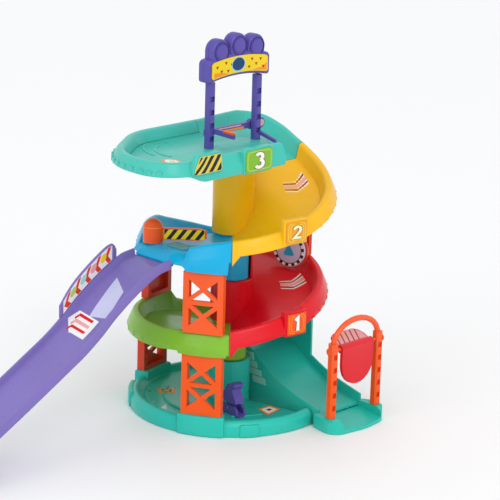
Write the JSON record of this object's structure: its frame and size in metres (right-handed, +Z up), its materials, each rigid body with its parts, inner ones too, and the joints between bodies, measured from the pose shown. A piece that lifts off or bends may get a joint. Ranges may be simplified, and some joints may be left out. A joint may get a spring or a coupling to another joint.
{
  "type": "toy parking garage",
  "caption": "Toy parking garage with a spiral car ramp round a column, a long side slide, lattice towers, a top deck with a gantry and an exit lane under an arch with a swing flap.",
  "frame": {"origin": "on the axis of the spiral, at the bottom face of the column's foot, at floor level", "axes": "+Z up; +X the way a car rolls out through the exit gate; +Y to the left of that; the side slide runs towards -Y"},
  "size_m": [0.2515, 0.521, 0.3937],
  "materials": {
    "teal": "moulded gloss",
    "pale_teal": "moulded gloss",
    "lime": "moulded gloss",
    "blue": "moulded gloss",
    "red": "moulded gloss",
    "yellow": "moulded gloss",
    "orange": "moulded gloss",
    "brick": "moulded gloss",
    "purple": "moulded gloss",
    "violet": "moulded gloss",
    "grey": "moulded gloss",
    "steel": "brushed"
  },
  "bodies": {
    "garage": {"base_dish": "teal", "base_hub": "teal", "exit_ramp": "teal", "exit_apron": "teal", "level_1_tray": "lime", "level_2_tray": "blue", "red_ramp": "red", "yellow_ramp": "yellow", "deck_ramp": "pale_teal", "top_deck": "pale_teal", "hazard_plate": "yellow", "level_tag_1": "orange", "level_tag_2": "orange", "level_tag_3": "lime", "front_tower_lower": "orange", "front_tower_upper": "orange", "rear_tower_lower": "brick", "rear_tower_upper": "brick", "exit_arch": "orange", "flap_pin": "orange", "gantry_post_left": "purple", "gantry_post_right": "purple", "gantry_rear_shell": "purple", "gantry_front_shell": "purple", "gantry_sign_plate": "yellow", "boom_pin": "steel", "side_ramp": "violet", "side_ramp_fin": "violet", "diverter_pin": "steel", "sign_tower": "brick", "parking_sign": "grey", "lever_bracket": "purple", "lever_pin": "steel", "sensor_tile_upper": "grey", "sign_screw_left": "steel", "sign_screw_right": "steel"},
    "boom": {"gantry_boom": "purple"},
    "diverter": {"diverter_gate": "orange"},
    "flap": {"exit_flap": "red"},
    "lever": {"service_lever": "purple"}
  },
  "joints": [
    {"name": "boom_hinge", "type": "hinge", "parent": "garage", "child": "boom", "pos_m": [-0.003, 0.02475, 0.2943], "axis": [-1, 0, 0], "range_deg": [0, 50]},
    {"name": "diverter_hinge", "type": "hinge", "parent": "garage", "child": "diverter", "pos_m": [-0.026, -0.087, 0.1853], "axis": [0, 0, 1], "range_deg": [-50, 0]},
    {"name": "flap_hinge", "type": "hinge", "parent": "garage", "child": "flap", "pos_m": [0.127, 0.053, 0.085], "axis": [0, -1, 0], "range_deg": [-80, 80]},
    {"name": "lever_hinge", "type": "hinge", "parent": "garage", "child": "lever", "pos_m": [0.042, -0.035, 0.0158], "axis": [0.1736, 0.9848, 0], "range_deg": [-12, 12]}
  ]
}
